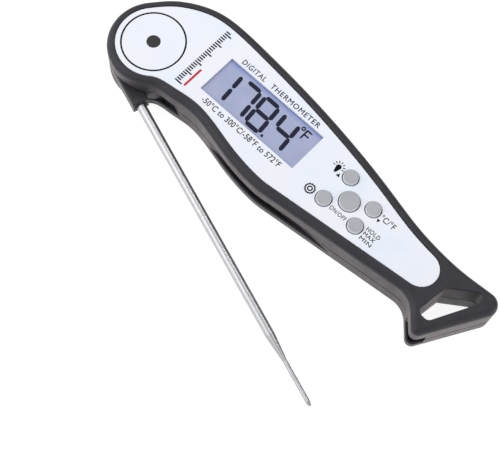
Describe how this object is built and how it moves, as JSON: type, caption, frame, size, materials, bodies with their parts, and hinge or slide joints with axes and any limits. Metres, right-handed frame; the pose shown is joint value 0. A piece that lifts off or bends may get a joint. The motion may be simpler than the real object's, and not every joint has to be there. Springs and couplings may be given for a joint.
{
  "type": "folding food thermometer",
  "caption": "Folding digital food thermometer with a pivoting steel probe, display, five round keys, a coin-cell hatch and a hanging hole in a three-cornered tail.",
  "frame": {"origin": "on the probe's pivot axis, in the plane of the back face", "axes": "+X along the handle to the tail, +Z out of the front face, +Y to the side away from the probe"},
  "size_m": [0.1656, 0.0816, 0.0181],
  "materials": {
    "casing": "fine satin mould texture, charcoal",
    "hub_plastic": "satin, charcoal",
    "panel_white": "smooth satin white face panel",
    "window_clear": "clear polished pane",
    "display": "blue-grey liquid crystal glass",
    "light_guide": "milky light guide",
    "seal_rubber": "matt black rubber",
    "board_green": "solder-masked board",
    "black_parts": "moulded black component bodies",
    "switch_glass": "greenish glass tube",
    "silicone": "matt grey silicone",
    "spring_steel": "plain spring steel",
    "cell_steel": "nickel-plated steel can",
    "screw_steel": "zinc-plated steel",
    "lead_insulation": "thin coloured insulation",
    "magnet_plate": "nickel-plated magnet",
    "bush_brass": "plain brass",
    "probe_steel": "drawn stainless steel, satin along its length",
    "key_grey": "satin light grey keys"
  },
  "bodies": {
    "casing": {"front_shell": "casing", "rear_shell": "casing", "perimeter_gasket": "seal_rubber", "face_panel": "panel_white", "display_window": "window_clear", "lcd_glass": "display", "backlight_plate": "light_guide", "lcd_contact_strips": "seal_rubber", "circuit_board": "board_green", "board_chips": "black_parts", "buzzer": "black_parts", "reed_switch": "switch_glass", "keypad_web": "silicone", "dome_switches": "spring_steel", "coin_cell": "cell_steel", "battery_contact_negative": "spring_steel", "battery_contact_positive": "spring_steel", "pivot_shaft": "spring_steel", "pivot_screw": "screw_steel", "pivot_cap": "seal_rubber", "friction_washer": "spring_steel", "hub_seals": "seal_rubber", "lead_loop": "lead_insulation", "case_screws": "screw_steel", "back_magnets": "magnet_plate"},
    "probe": {"probe_hub": "hub_plastic", "hub_bush": "bush_brass", "hub_magnet": "magnet_plate", "stem_grommet": "seal_rubber", "probe_stem": "probe_steel", "probe_tip": "probe_steel", "tip_sensor": "black_parts", "sensor_leads": "lead_insulation"},
    "battery_hatch": {"battery_cover": "casing", "battery_cover_seal": "seal_rubber"},
    "light_key": {"light_button": "key_grey"},
    "unit_key": {"unit_button": "key_grey"},
    "power_key": {"power_button": "key_grey"},
    "calibrate_key": {"calibrate_button": "key_grey"},
    "hold_key": {"hold_button": "key_grey"}
  },
  "joints": [
    {"name": "probe_hinge", "type": "hinge", "parent": "casing", "child": "probe", "pos_m": [0, 0, 0.0077], "axis": [0, 0, 1], "range_deg": [-161.96, 18.04]},
    {"name": "battery_cover_turn", "type": "hinge", "parent": "casing", "child": "battery_hatch", "pos_m": [0.086, 0.0033, 0.001], "axis": [0, 0, 1], "range_deg": [0, 60]},
    {"name": "light_press", "type": "slide", "parent": "casing", "child": "light_key", "axis": [0, 0, -1], "range_m": [0, 0.0006], "stiffness_N_per_m": 1500},
    {"name": "unit_press", "type": "slide", "parent": "casing", "child": "unit_key", "axis": [0, 0, -1], "range_m": [0, 0.0006], "stiffness_N_per_m": 1500},
    {"name": "power_press", "type": "slide", "parent": "casing", "child": "power_key", "axis": [0, 0, -1], "range_m": [0, 0.0006], "stiffness_N_per_m": 1500},
    {"name": "calibrate_press", "type": "slide", "parent": "casing", "child": "calibrate_key", "axis": [0, 0, -1], "range_m": [0, 0.0006], "stiffness_N_per_m": 1500},
    {"name": "hold_press", "type": "slide", "parent": "casing", "child": "hold_key", "axis": [0, 0, -1], "range_m": [0, 0.0006], "stiffness_N_per_m": 1500}
  ]
}
